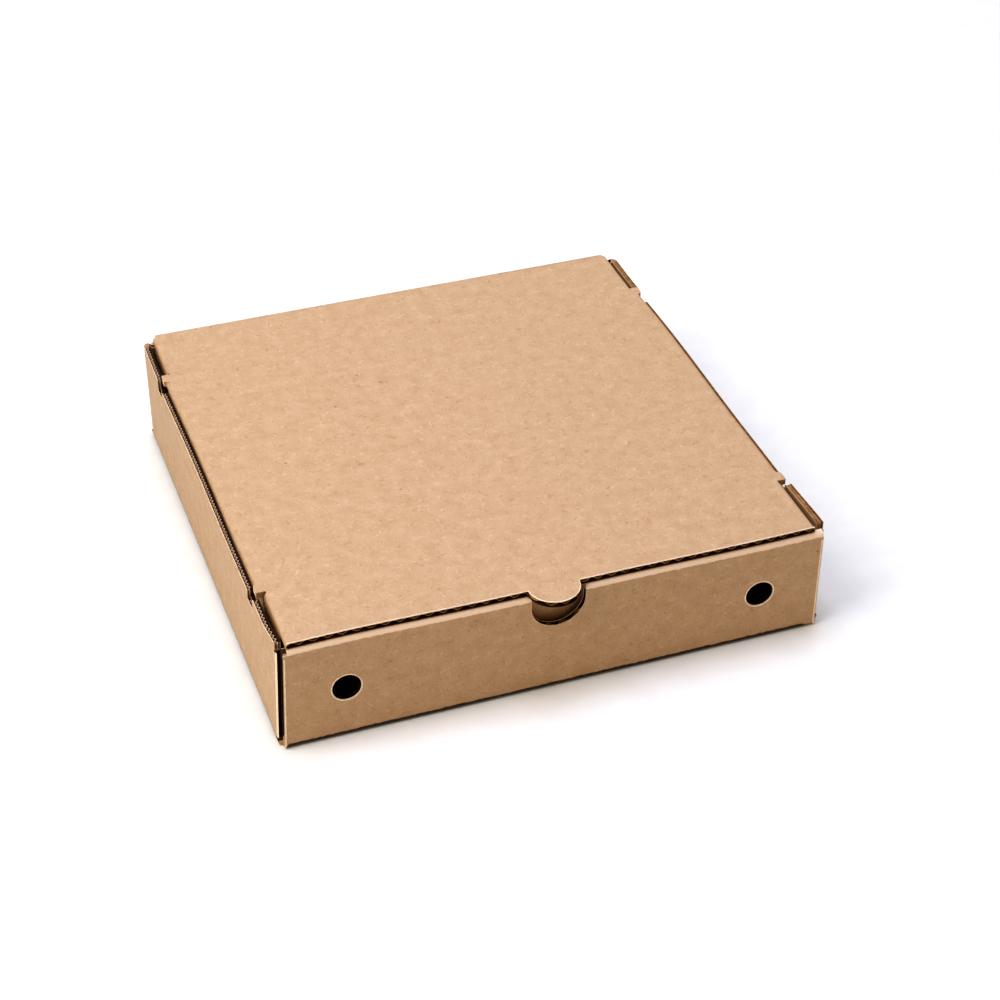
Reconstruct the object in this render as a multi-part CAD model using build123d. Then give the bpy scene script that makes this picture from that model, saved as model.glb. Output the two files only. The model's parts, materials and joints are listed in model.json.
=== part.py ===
from build123d import *
import os

# A pizza box folded from one blank of fluted kraft board, shown closed. Lengths are in millimetres.
# X runs across the box, Y from the front wall to the back wall, Z up.
# The origin is the middle of the base's underside.
# The blank is two solids, because its lid turns about the crease above the back wall.

# Outside size and board
box_width = 260.0
box_depth = 260.0
roll_height = 55.2
board = 3.0
fold_round = 2.8

# What a cut edge of the board shows: two liners and the wave of the flutes between them
liner = 0.35
medium = 0.3
flute_pitch = 6.5
flute_crown = 1.1
flute_mouth = 6.0
edge_liner = 0.45
edge_hollow = 2.4

# Rolled front wall, which traps the front corner flaps
flap_slip = 0.2
front_panel_inset = 2.2
roll_end_inset = 5.4
roll_chamfer = 4.2
roll_round = 2.6
inner_panel_lift = 0.3
lock_tab_x = 62.0
lock_tab_width = 28.0
lock_tab_short = 0.4
lock_slot_ease = 0.3

# Corner flaps, which fold inwards from both ends of each side wall
corner_flap_length = 52.0
corner_flap_taper = 3.0
corner_flap_lift = 0.5
front_flap_drop = 0.3
rear_flap_drop = 0.5

# Side walls, with a lower middle stretch and a notch at each end of it
wall_end_height = 56.0
wall_mid_height = 54.2
wall_end_zone = 38.0
wall_notch_width = 9.0
wall_notch_floor = 49.5
wall_notch_round = 1.0

# Back wall and the crease that the lid turns about
back_panel_inset = 1.6
back_chamfer = 4.0
crease_gap = 0.3
crease_neck = 1.2
shoulder_round = 0.8

# Lid
lid_seat_gap = 0.3
lid_setback = 1.3
lid_wall_gap = 0.3
lid_end_step = 2.0
lid_fold_round = 2.0
lid_flap_depth = 44.0
lid_flap_front_gap = 1.0
lid_flap_rear_gap = 1.3
lid_flap_taper = 7.0
lid_flap_corner = 6.0
joggle_length = 10.0
slit_width = 1.2
slit_drop = 8.0
slit_reach = 1.0
ear_reach = 1.2
ear_length = 6.0

# Thumb tab, finger notch and steam vents
thumb_tab_x = -3.4
thumb_tab_radius = 11.8
finger_notch_x = -1.2
finger_notch_radius = 12.8
finger_notch_floor = 36.4
vent_inset = 31.5
vent_height = 27.2
vent_diameter = 14.0
flap_vent_ease = 1.0

# Faces and edges that follow from the sizes above
half_width = box_width / 2
half_depth = box_depth / 2
vent_x = half_width - vent_inset
notch_centre = finger_notch_floor + finger_notch_radius
wall_inside = half_width - board
front_face = -half_depth
panel_half = half_width - front_panel_inset
roll_half = half_width - roll_end_inset
front_flap_face = front_face + board + flap_slip
inner_panel_face = front_flap_face + board + flap_slip
inner_panel_back = inner_panel_face + board
roll_underside = roll_height - board
front_fold_y = front_flap_face + board
rear_flap_face = half_depth - board - flap_slip - board
rear_fold_y = rear_flap_face
zone_y = half_depth - wall_end_zone
notch_y = zone_y - wall_notch_width

lid_underside = roll_height + lid_seat_gap
lid_top = lid_underside + board
lid_front = front_face + lid_setback
lid_mid_half = wall_inside - lid_wall_gap
lid_end_half = lid_mid_half - lid_end_step
lid_flap_foot = lid_top - lid_flap_depth
lid_flap_front = inner_panel_back + lid_flap_front_gap
lid_flap_rear = rear_flap_face - lid_flap_rear_gap
crease_half = lid_end_half - lid_fold_round
crease_y = half_depth - board / 2
crease_z = lid_underside + board / 2
bead_radius = board / 2


def rounded(points, corners, radius):
    """Face with the given outline, and a round at those of its points that corners lists."""
    face = Polygon(*points, align=None)
    picked = [face.vertices().sort_by_distance(Vector(*points[index]))[0] for index in corners]
    return fillet(picked, radius)


def across_box(section, half_length):
    """Section drawn in Y and Z, carried along X both ways from the middle."""
    return extrude(Plane.YZ * section, amount=half_length, both=True)


def facing_front(outline, front_y, thickness):
    """Panel with an outline drawn in X and Z, from its front face backwards."""
    back_plane = Plane(origin=(0, front_y + thickness, 0), x_dir=(1, 0, 0), z_dir=(0, -1, 0))
    return extrude(back_plane * outline, amount=thickness)


def facing_side(outline, inner_x, thickness):
    """Panel with an outline drawn in Y and Z, from its inner face outwards to the right."""
    return extrude(Plane.YZ.offset(inner_x) * outline, amount=thickness)


def both_sides(solid):
    """The solid and its twin on the other side of the box."""
    return solid + mirror(solid, about=Plane.YZ)


def quarter_fold(centre, first_way, height):
    """Board bent through a right angle round an upright line: a quarter round, one board in radius."""
    corner_square = Pos(board / 2, board / 2) * Rectangle(board, board)
    sector = Circle(board) & corner_square
    return extrude(Plane(origin=centre, x_dir=first_way, z_dir=(0, 0, 1)) * sector, amount=height)


def flute_mouths(first, last, low, high):
    """The open ends of the flutes on a cut edge, between two liners: one face for each hollow.

    The wave of the medium is what stays between the hollows. Each hollow is wide at the liner
    that it touches and narrow at the crown of the wave.
    """
    floor = low + liner
    roof = high - liner
    wide = (flute_pitch - flute_crown) / 2 - medium / 2
    narrow = flute_crown / 2
    waves = int((last - first) / flute_pitch)
    start = (first + last) / 2 - waves * flute_pitch / 2
    hollows = []
    for wave in range(waves):
        under_roof = start + (wave + 0.25) * flute_pitch
        over_floor = start + (wave + 0.75) * flute_pitch
        hollows.append(
            Polygon(
                (under_roof - wide, roof),
                (under_roof + wide, roof),
                (under_roof + narrow, floor + medium),
                (under_roof - narrow, floor + medium),
                align=None,
            )
        )
        hollows.append(
            Polygon(
                (over_floor - wide, floor),
                (over_floor + wide, floor),
                (over_floor + narrow, roof - medium),
                (over_floor - narrow, roof - medium),
                align=None,
            )
        )
    return hollows


def hollow_facing_front(outline, front_y):
    """Hollow between the liners of a board that faces the front, under its cut edges."""
    return facing_front(outline, front_y + edge_liner, board - 2 * edge_liner)


def make_base():
    """Base panel with a rounded fold under each wall and the lock slots for the inner panel."""
    base = Pos(0, 0, board / 2) * Box(box_width, box_depth, board)
    base = fillet(base.edges().group_by(Axis.Z)[0], fold_round)
    relief = Box(2 * front_panel_inset, 2 * (board + flap_slip), 3 * board)
    for side in (-1, 1):
        for end in (-1, 1):
            base -= Pos(side * half_width, end * half_depth, 0) * relief
    slot_width = lock_tab_width + 2 * lock_slot_ease
    slot = Box(slot_width, board + 2 * lock_slot_ease, 3 * board)
    for side in (-1, 1):
        base -= Pos(side * lock_tab_x, inner_panel_face + board / 2, 0) * slot
    return base


def side_wall_edge(inset):
    """Points of a side wall seen from the side, with its cut edge moved inwards by the inset."""
    end_top = wall_end_height - inset
    mid_top = wall_mid_height - inset
    floor = wall_notch_floor - inset
    near_end = zone_y + inset
    near_mid = notch_y - inset
    return [
        (rear_fold_y, board),
        (rear_fold_y, end_top),
        (near_end, end_top),
        (near_end, floor),
        (near_mid, floor),
        (near_mid, mid_top),
        (-near_mid, mid_top),
        (-near_mid, floor),
        (-near_end, floor),
        (-near_end, end_top),
        (front_fold_y, end_top),
        (front_fold_y, board),
    ]


def make_side_wall():
    """Right side wall: its top edge steps down in the middle, with a notch at both ends of the step."""
    outline = rounded(side_wall_edge(0), [2, 3, 4, 5, 6, 7, 8, 9], wall_notch_round)
    under_edge = outline - Polygon(*side_wall_edge(edge_hollow), align=None)
    hollow = facing_side(under_edge, wall_inside + edge_liner, board - 2 * edge_liner)
    return facing_side(outline, wall_inside, board) - hollow


def corner_flap_outline(top_z, inset):
    """Corner flap seen from the front: it narrows towards its free end, which has round corners."""
    foot_z = board + corner_flap_lift + inset
    top_z -= inset
    free_x = wall_inside - corner_flap_length + inset
    corners = [
        (wall_inside, foot_z),
        (wall_inside, top_z),
        (free_x, top_z - corner_flap_taper),
        (free_x, foot_z + corner_flap_taper),
    ]
    return rounded(corners, [2, 3], 2 * board)


def corner_flap(front_y, top_z):
    """Right corner flap, hollow between its liners under its cut edges."""
    outline = corner_flap_outline(top_z, 0)
    under_edge = outline - corner_flap_outline(top_z, edge_hollow)
    return facing_front(outline, front_y, board) - hollow_facing_front(under_edge, front_y)


def make_corner_flaps():
    """Front and rear corner flaps of the right side wall, with the upright folds that carry them."""
    foot_z = board + corner_flap_lift
    front_top = roll_underside - front_flap_drop
    rear_top = roll_height - rear_flap_drop
    front_flap = corner_flap(front_flap_face, front_top)
    hole_radius = vent_diameter / 2 + flap_vent_ease
    hole = facing_front(Circle(hole_radius), front_flap_face, board)
    hole += hollow_facing_front(Circle(hole_radius + edge_hollow), front_flap_face)
    front_flap -= Pos(vent_x, 0, vent_height) * hole
    rear_flap = corner_flap(rear_flap_face, rear_top)
    front_fold = quarter_fold((wall_inside, front_fold_y, foot_z), (0, -1, 0), front_top - foot_z)
    rear_fold = quarter_fold((wall_inside, rear_fold_y, foot_z), (1, 0, 0), rear_top - foot_z)
    return front_flap + rear_flap + front_fold + rear_fold


def roll_end_hollow():
    """Hollow between the liners where the roll's right end is cut, over the top and down the inner panel."""
    behind_outer = front_face + board
    hollow = Polygon(
        (behind_outer, roll_height - edge_liner),
        (inner_panel_back - roll_round, roll_height - edge_liner),
        (inner_panel_back - edge_liner, roll_height - roll_round),
        (inner_panel_back - edge_liner, 2 * board),
        (inner_panel_face + edge_liner, 2 * board),
        (inner_panel_face + edge_liner, roll_underside + edge_liner),
        (behind_outer, roll_underside + edge_liner),
        align=None,
    )
    return extrude(Plane.YZ.offset(roll_half - edge_hollow) * hollow, amount=edge_hollow)


def make_front_wall():
    """Rolled front wall: up the outer panel, over the top and down the inner panel to the base."""
    inner_foot = board + inner_panel_lift
    section = rounded(
        [
            (front_face, board),
            (front_face, roll_height),
            (inner_panel_back, roll_height),
            (inner_panel_back, inner_foot),
            (inner_panel_face, inner_foot),
            (inner_panel_face, roll_underside),
            (front_face + board, roll_underside),
            (front_face + board, board),
        ],
        [1, 2],
        roll_round,
    )
    wall = across_box(section, panel_half)
    behind_outer = front_face + board
    trim_depth = inner_panel_back - behind_outer
    trim = Box(2 * (panel_half - roll_half), trim_depth, 2 * roll_height)
    corner_cut = Polygon(
        (roll_half, roll_height),
        (panel_half + board, roll_height),
        (panel_half + board, roll_height - roll_chamfer),
        (panel_half, roll_height - roll_chamfer),
        align=None,
    )
    wall -= both_sides(Pos(panel_half, behind_outer + trim_depth / 2, roll_height) * trim)
    wall -= both_sides(facing_front(corner_cut, front_face, board))
    end_height = roll_height - roll_chamfer - 2 * board
    end_hollow = Box(2 * edge_hollow, board - 2 * edge_liner, end_height)
    end_z = board + (roll_height - roll_chamfer) / 2
    wall -= both_sides(Pos(panel_half, front_face + board / 2, end_z) * end_hollow)
    wall -= both_sides(roll_end_hollow())
    tab_foot = [
        (-lock_tab_width / 2, inner_foot),
        (-lock_tab_width / 2, lock_tab_short),
        (lock_tab_width / 2, lock_tab_short),
        (lock_tab_width / 2, inner_foot),
    ]
    tab = facing_front(rounded(tab_foot, [1, 2], lock_tab_short), inner_panel_face, board)
    for side in (-1, 1):
        wall += Pos(side * lock_tab_x, 0, 0) * tab
    return wall


def make_back_wall():
    """Back wall, with the bead of crushed board along its top that the lid turns about."""
    back_half = half_width - back_panel_inset
    outline = Polygon(
        (-back_half, board),
        (back_half, board),
        (back_half, roll_height - back_chamfer),
        (crease_half, roll_height),
        (-crease_half, roll_height),
        (-back_half, roll_height - back_chamfer),
        align=None,
    )
    wall = facing_front(outline, half_depth - board, board)
    ridge = wall.edges().filter_by(Axis.X).group_by(Axis.Z)[-1]
    wall = fillet(ridge, shoulder_round)
    neck = Pos(crease_y, (roll_underside + crease_z) / 2) * Rectangle(crease_neck, crease_z - roll_underside)
    bead = Pos(crease_y, crease_z) * Circle(bead_radius)
    return wall + across_box(bead + neck, crease_half)


def notch_outline(radius, top_z):
    """Finger notch seen from the front: a round foot with upright sides."""
    rise = top_z - notch_centre
    return Circle(radius) + Pos(0, rise / 2) * Rectangle(2 * radius, rise)


def finger_notch():
    """What the finger notch takes out of the roll, with the hollow between the liners round it."""
    opening = notch_outline(finger_notch_radius, roll_height + board)
    cut = facing_front(opening, front_face - board, inner_panel_face - front_face + board)
    cut += hollow_facing_front(notch_outline(finger_notch_radius + edge_hollow, roll_underside), front_face)
    return Pos(finger_notch_x, 0, notch_centre) * cut


def vent():
    """What a steam vent takes out of the roll, with the hollows between the liners round it."""
    through = inner_panel_back - front_face + 2 * board
    cut = facing_front(Circle(vent_diameter / 2), front_face - board, through)
    for panel_face in (front_face, inner_panel_face):
        cut += hollow_facing_front(Circle(vent_diameter / 2 + edge_hollow), panel_face)
    return cut


def make_tray():
    """Base, walls, corner flaps and rolled front as one folded piece."""
    tray = make_base() + both_sides(make_side_wall() + make_corner_flaps())
    tray += make_front_wall()
    tray += make_back_wall()
    tray -= finger_notch()
    for side in (-1, 1):
        tray -= Pos(side * vent_x, 0, vent_height) * vent()
    return tray


def lid_strip(half, start_y, end_y):
    """Stretch of the lid panel, with a rounded fold along both of its sides."""
    section = rounded(
        [(-half, lid_underside), (half, lid_underside), (half, lid_top), (-half, lid_top)],
        [2, 3],
        lid_fold_round,
    )
    return facing_front(section, start_y, end_y - start_y)


def make_lid_panel():
    """Lid panel with its thumb tab, wider between the notches of the side walls."""
    panel = lid_strip(lid_mid_half, -zone_y, zone_y)
    panel += lid_strip(lid_end_half, lid_front, -zone_y)
    panel += lid_strip(lid_end_half, zone_y, crease_y)
    root_x = lid_mid_half - board
    tip_x = lid_mid_half + ear_reach
    ear = rounded(
        [
            (root_x, -zone_y),
            (tip_x, -zone_y),
            (tip_x, -zone_y + ear_length),
            (root_x, -zone_y + ear_length + board),
        ],
        [1, 2],
        ear_reach,
    )
    ears = both_sides(extrude(Plane.XY.offset(lid_underside) * ear, amount=board))
    tab = Pos(thumb_tab_x, lid_front, lid_underside) * extrude(Circle(thumb_tab_radius), amount=board)
    return panel + ears + mirror(ears, about=Plane.XZ) + tab


def lid_flap_strip(top_z, skin):
    """Board of the right tuck flap up to a height, less a skin taken off both of its faces."""
    face = [
        (lid_end_half, lid_flap_front),
        (lid_end_half, -zone_y),
        (lid_mid_half, -zone_y + joggle_length),
        (lid_mid_half, zone_y - joggle_length),
        (lid_end_half, zone_y),
        (lid_end_half, lid_flap_rear),
    ]
    outer = [(x - skin, y) for x, y in face]
    inner = [(x - board + skin, y) for x, y in reversed(face)]
    section = Polygon(*outer, *inner, align=None)
    return extrude(Plane.XY.offset(lid_flap_foot) * section, amount=top_z - lid_flap_foot)


def lid_flap_outline(inset):
    """Tuck flap seen from the side, with its cut edge moved inwards by the inset."""
    front = lid_flap_front + inset
    rear = lid_flap_rear - inset
    foot = lid_flap_foot + inset
    corners = [
        (front, lid_top),
        (front, lid_underside - board),
        (front + lid_flap_taper, foot),
        (rear - lid_flap_taper, foot),
        (rear, lid_underside - board),
        (rear, lid_top),
    ]
    outline = rounded(corners, [2, 3], lid_flap_corner)
    return facing_side(outline, lid_end_half - 2 * board, 3 * board)


def make_lid_flap():
    """Right tuck flap: set in at both ends, and pulled over to the lid's wider middle between."""
    fold_top = lid_underside + (board - lid_fold_round) / 2
    flap = lid_flap_strip(fold_top, 0) & lid_flap_outline(0)
    hollow = lid_flap_strip(lid_underside - board, edge_liner) - lid_flap_outline(edge_hollow)
    return flap - hollow


def make_lid():
    """Lid panel, thumb tab and two tuck flaps as one folded piece."""
    lid = make_lid_panel() + both_sides(make_lid_flap())
    slit = Box(board + 2 * slit_reach + lid_end_step, slit_width, slit_drop)
    slit_x = lid_end_half - slit_reach + (board + 2 * slit_reach + lid_end_step) / 2
    slit_z = lid_top - slit_drop / 2
    for end in (-1, 1):
        lid -= both_sides(Pos(slit_x, end * zone_y, slit_z) * slit)
    lid -= Pos(0, crease_y, crease_z) * Rot(0, 90, 0) * Cylinder(bead_radius + crease_gap, box_width)
    mouth_half = crease_half
    mouth_back = lid_front + flute_mouth
    mouth_front = lid_front - thumb_tab_radius - board
    hollows = flute_mouths(-mouth_half, mouth_half, lid_underside, lid_top)
    lid -= [facing_front(hollow, mouth_front, mouth_back - mouth_front) for hollow in hollows]
    return lid


parts = {
    "tray": make_tray(),
    "lid": make_lid(),
}

os.makedirs("parts", exist_ok=True)
for name, solid in parts.items():
    export_step(solid, f"parts/{name}.step")
    size = solid.bounding_box().size
    print(name, round(size.X, 1), round(size.Y, 1), round(size.Z, 1), "solids", len(solid.solids()))
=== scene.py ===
# %% [markdown]
# # A folded pizza box in kraft board
#
# The real box is one die-cut blank of fluted board, folded by hand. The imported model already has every
# panel, fold, notch and vent at its real size, so this lesson gives the box what makes it look like
# paper: liners with pulp in them, cut edges that show the flutes, soft folds and a lid that isn't quite
# flat.
#
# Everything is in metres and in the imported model's own frame: X across the box, Y from the front wall to
# the back wall, Z up, with the origin under the middle of the base.

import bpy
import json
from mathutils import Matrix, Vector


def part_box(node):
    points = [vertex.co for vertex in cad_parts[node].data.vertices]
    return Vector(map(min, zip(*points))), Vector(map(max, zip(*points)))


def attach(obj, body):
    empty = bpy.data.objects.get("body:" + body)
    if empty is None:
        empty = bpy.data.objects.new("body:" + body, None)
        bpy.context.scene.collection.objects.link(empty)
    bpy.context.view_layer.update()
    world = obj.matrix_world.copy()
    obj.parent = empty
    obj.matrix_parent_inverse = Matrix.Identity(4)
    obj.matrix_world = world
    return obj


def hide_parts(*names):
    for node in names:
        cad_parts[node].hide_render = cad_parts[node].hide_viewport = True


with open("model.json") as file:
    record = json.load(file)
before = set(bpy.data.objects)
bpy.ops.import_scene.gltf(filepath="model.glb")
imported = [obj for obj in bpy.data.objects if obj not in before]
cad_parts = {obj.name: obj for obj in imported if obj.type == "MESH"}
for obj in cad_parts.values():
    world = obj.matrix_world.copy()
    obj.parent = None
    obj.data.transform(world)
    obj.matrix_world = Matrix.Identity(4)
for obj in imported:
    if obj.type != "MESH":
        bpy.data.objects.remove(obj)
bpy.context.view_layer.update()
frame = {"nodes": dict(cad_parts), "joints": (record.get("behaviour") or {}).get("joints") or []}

# %% What the lesson imports
import json
import math

import bmesh
import bpy
import numpy as np
from mathutils import Vector, noise
from mathutils.bvhtree import BVHTree

mm = 0.001
scene = bpy.context.scene

# %% [markdown]
# ## Sizes that the cells share
#
# The board is B flute: 3 mm thick, with a wave of about 6.5 mm from crown to crown. The corners of the
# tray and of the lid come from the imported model, and every other place is worked out from them. A hair
# is how far apart two places may be and still count as one.

# %% Board and corners
board = 3.0 * mm
liner = 0.35 * mm
edge_liner = 0.45 * mm
edge_hollow = 2.4 * mm
flute_pitch = 6.5 * mm
fold_slip = 0.2 * mm
lid_gap = 0.3 * mm
hair = 0.05 * mm

tray_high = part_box("tray")[1]
lid_low, lid_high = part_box("lid")
hinge = Vector(frame["joints"][0]["pos_m"])

half_width = tray_high.x
half_depth = tray_high.y
wall_inside = half_width - board
front_face = -half_depth
lid_top = lid_high.z
lid_underside = lid_top - board
thumb_tab_radius = 11.8 * mm
lid_front = lid_low.y + thumb_tab_radius
roll_top = lid_underside - lid_gap
roll_underside = roll_top - board
print("half width", round(half_width, 4), "lid top", round(lid_top, 4), "lid front", round(lid_front, 4))

# %% [markdown]
# ## The camera
#
# The box was photographed from its front left corner, looking down at about 37 degrees, with a long
# lens. A camera can be placed by its angles: a point to look at, a distance, an azimuth and an elevation
# say more to a reader than a bare matrix, and they are what a photographer would set. The photographer's
# camera was also tipped by a third of a degree.

# %% Camera
camera_aim = Vector((9.0, -26.4, 30.0)) * mm
camera_distance = 1074.0 * mm
camera_azimuth = math.radians(-19.9)
camera_elevation = math.radians(36.68)
camera_roll = math.radians(0.31)
camera_lens = 80.1
camera_sensor = 36.0

camera_back = Vector((
    math.sin(camera_azimuth) * math.cos(camera_elevation),
    -math.cos(camera_azimuth) * math.cos(camera_elevation),
    math.sin(camera_elevation),
))
camera_data = bpy.data.cameras.new("camera")
camera_data.lens = camera_lens
camera_data.sensor_width = camera_sensor
camera_data.clip_start = 0.05
camera = bpy.data.objects.new("camera", camera_data)
camera.location = camera_aim + camera_back * camera_distance
camera_turn = (-camera_back).to_track_quat("-Z", "Y").to_matrix().to_euler()
camera_turn.rotate_axis("Z", camera_roll)
camera.rotation_euler = camera_turn
scene.collection.objects.link(camera)
scene.camera = camera
print("camera at", [round(value, 3) for value in camera.location])

# %% [markdown]
# ## Light
#
# The box stands on white paper in a bright studio. Big soft lights above it and to its left make the lid
# and the left wall bright and leave the front wall in shade. A third, weak one behind it puts a faint
# gloss on the lid and a soft shadow in front of the box. A warm card gives the shaded front wall its deep
# brown, and a small card near the front left corner brightens that end of the left wall. The view is set
# to Standard with a high contrast, because the filmic default would turn the white paper grey.

# %% Helper for lights
def area_light(name, place, aim, size, power, colour=(1.0, 1.0, 1.0)):
    """A square light that faces its aim."""
    data = bpy.data.lights.new(name, "AREA")
    data.size = size
    data.energy = power
    data.color = colour
    light = bpy.data.objects.new(name, data)
    light.location = place
    light.rotation_euler = (Vector(aim) - Vector(place)).to_track_quat("-Z", "Y").to_euler()
    scene.collection.objects.link(light)
    print("light", name, power, "W")
    return light


# %% Studio light
scene.view_settings.view_transform = "Standard"
scene.view_settings.look = "Very High Contrast"

box_middle = (0, 0, lid_top / 2)
area_light("left_softbox", (-1.0, -0.15, 1.3), box_middle, 1.1, 10.1, (1.0, 0.99, 1.01))
area_light("overhead_softbox", (0.05, 0.1, 1.7), box_middle, 1.0, 7.15, (0.97, 1.1, 1.56))
area_light("back_softbox", (0.45, 1.25, 1.05), box_middle, 1.2, 4.0)
area_light("warm_card", (0.25, -1.3, 0.4), box_middle, 0.8, 0.7, (1.0, 0.56, 0.1))
area_light("left_card", (-0.6, -0.3, 0.3), (-half_width, front_face, 0), 0.4, 0.25, (1.0, 0.95, 0.85))

world = bpy.data.worlds.new("white_studio")
world.use_nodes = True
world.node_tree.nodes["Background"].inputs["Color"].default_value = (1.0, 0.93, 0.81, 1.0)
world.node_tree.nodes["Background"].inputs["Strength"].default_value = 0.232
scene.world = world

# %% [markdown]
# ## Node helpers
#
# Materials and geometry are both built from nodes in this lesson. A few small helpers keep that readable.
# The first adds a node and fills its inputs, with a number or with a link. The others do a sum, mix two
# colours, read a noise, and make or use a group with named sockets.

# %% Node helpers
def place(tree, kind, inputs=None, **settings):
    """Adds a node, sets its properties, and gives each named input a value or a link."""
    made = tree.nodes.new(kind)
    for name, value in settings.items():
        setattr(made, name, value)
    for name, value in (inputs or {}).items():
        if isinstance(value, bpy.types.NodeSocket):
            tree.links.new(value, made.inputs[name])
        else:
            made.inputs[name].default_value = value
    return made


def maths(tree, operation, *values, clamp=False):
    """The result of a Math node."""
    node = place(tree, "ShaderNodeMath", dict(enumerate(values)), operation=operation, use_clamp=clamp)
    return node.outputs[0]


def vector_maths(tree, operation, first, second):
    """The result of a Vector Math node."""
    values = {0: first, "Scale" if operation == "SCALE" else 1: second}
    return place(tree, "ShaderNodeVectorMath", values, operation=operation).outputs[0]


def mix_colours(tree, share, first, second):
    """The colour between two, by share."""
    return place(tree, "ShaderNodeMix", {0: share, 6: first, 7: second}, data_type="RGBA").outputs[2]


def noise_value(tree, vector, scale, detail, **more):
    """The value of a noise at a place."""
    values = {"Vector": vector, "Scale": scale, "Detail": detail, **more}
    return place(tree, "ShaderNodeTexNoise", values).outputs[0]


def swing(tree, value, amount):
    """How far a noise is from its middle, times an amount."""
    return maths(tree, "MULTIPLY", maths(tree, "SUBTRACT", value, 0.5), amount)


def new_group(name, kind, inputs, outputs):
    """An empty node group with named sockets, and the sockets of its input and output nodes."""
    tree = bpy.data.node_groups.new(name, kind)
    for label, socket_type, value in inputs:
        socket = tree.interface.new_socket(label, in_out="INPUT", socket_type=socket_type)
        if value is not None:
            socket.default_value = value
    for label, socket_type in outputs:
        tree.interface.new_socket(label, in_out="OUTPUT", socket_type=socket_type)
    return tree, tree.nodes.new("NodeGroupInput").outputs, tree.nodes.new("NodeGroupOutput").inputs


def use_group(tree, group, inputs):
    """The outputs of a shader node group with these inputs."""
    return place(tree, "ShaderNodeGroup", inputs, node_tree=group).outputs


# %% [markdown]
# ## What kraft paper looks like
#
# Unbleached pulp isn't one brown. Seen close, it has clouds a few millimetres wide where the pulp is
# thicker, short curled fibres that are paler or darker than the rest, a fine grain, and now and then a
# speck of bark. An image of paper would be quick, but it would repeat. Noise that is measured in
# millimetres doesn't, and one node group can serve the liners and the cut edges with different values.

# %% Pulp group
def curled_lines(tree, vector, scale, offset, thinness):
    """Thin curled lines: the places where a distorted noise passes through its middle value."""
    moved = vector_maths(tree, "ADD", vector, offset)
    waves = noise_value(tree, moved, scale, 1.5, Roughness=0.5, Distortion=1.6)
    off_middle = maths(tree, "ABSOLUTE", maths(tree, "SUBTRACT", waves, 0.5))
    return maths(tree, "SUBTRACT", 1.0, maths(tree, "MULTIPLY", off_middle, thinness), clamp=True)


def make_pulp():
    """Group that turns a place on the paper, in millimetres, into its tone, specks and height."""
    tree, given, result = new_group(
        "pulp",
        "ShaderNodeTree",
        [
            ("Place", "NodeSocketVector", None),
            ("Cloud Size", "NodeSocketFloat", 9.0),
            ("Fibre Size", "NodeSocketFloat", 4.0),
            ("Cloud Amount", "NodeSocketFloat", 0.5),
            ("Fibre Amount", "NodeSocketFloat", 0.5),
            ("Speck Spacing", "NodeSocketFloat", 9.0),
        ],
        [("Tone", "NodeSocketFloat"), ("Specks", "NodeSocketFloat"), ("Height", "NodeSocketFloat")],
    )
    where = given["Place"]
    cloud_scale = maths(tree, "DIVIDE", 1.0, given["Cloud Size"])
    fibre_scale = maths(tree, "DIVIDE", 1.0, given["Fibre Size"])
    clouds = noise_value(tree, where, cloud_scale, 4.0, Roughness=0.6)
    grain = noise_value(tree, where, 1.1, 2.0, Roughness=0.6)
    pale = curled_lines(tree, where, fibre_scale, (31.0, 7.0, 0.0), 17.0)
    dark = curled_lines(tree, where, fibre_scale, (-17.0, 53.0, 0.0), 19.0)
    patches = noise_value(tree, where, 0.3, 1.0)
    shown = maths(tree, "MULTIPLY", maths(tree, "SUBTRACT", patches, 0.47), 7.0, clamp=True)
    curls = maths(tree, "MULTIPLY", maths(tree, "SUBTRACT", pale, dark), shown)
    cloud_part = swing(tree, clouds, given["Cloud Amount"])
    fibre_part = maths(tree, "MULTIPLY", curls, given["Fibre Amount"])
    tone = maths(tree, "ADD", maths(tree, "ADD", cloud_part, fibre_part), swing(tree, grain, 0.3))
    tree.links.new(maths(tree, "ADD", tone, 0.5, clamp=True), result["Tone"])

    speck_scale = maths(tree, "DIVIDE", 1.0, given["Speck Spacing"])
    cells = place(tree, "ShaderNodeTexVoronoi", {"Vector": where, "Scale": speck_scale, "Randomness": 1.0})
    lot = place(tree, "ShaderNodeSeparateColor", {"Color": cells.outputs["Color"]})
    reach = maths(tree, "MULTIPLY", maths(tree, "SUBTRACT", lot.outputs[0], 0.5, clamp=True), 0.16)
    inside = maths(tree, "SUBTRACT", reach, cells.outputs["Distance"])
    tree.links.new(maths(tree, "MULTIPLY", inside, 40.0, clamp=True), result["Specks"])

    height = maths(tree, "ADD", maths(tree, "MULTIPLY", grain, 0.6), maths(tree, "MULTIPLY", pale, 0.7))
    tree.links.new(height, result["Height"])
    return tree


pulp = make_pulp()
print("node group", pulp.name, "with", len(pulp.nodes), "nodes")

# %% [markdown]
# ## Flutes that show through the liner
#
# The liner is glued to the crowns of the wave, and it dips a little between them. On a real box that
# washboard is only seen where light grazes a panel. It follows the flutes, not the room, so it needs to
# know how far a point is across the flutes on the flat blank. The panels get a UV map with that further
# down, and this group only makes a soft wave from it.

# %% Washboard group
def make_washboard():
    """Group that turns a place on the blank, in millimetres, into the dip of the liner between crowns."""
    tree, given, result = new_group(
        "washboard",
        "ShaderNodeTree",
        [("Place", "NodeSocketVector", None), ("Pitch", "NodeSocketFloat", flute_pitch / mm)],
        [("Height", "NodeSocketFloat")],
    )
    across = place(tree, "ShaderNodeSeparateXYZ", {"Vector": given["Place"]}).outputs["X"]
    turn = maths(tree, "MULTIPLY", maths(tree, "DIVIDE", across, given["Pitch"]), 2 * math.pi)
    tree.links.new(maths(tree, "COSINE", turn), result["Height"])
    return tree


washboard = make_washboard()

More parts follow.
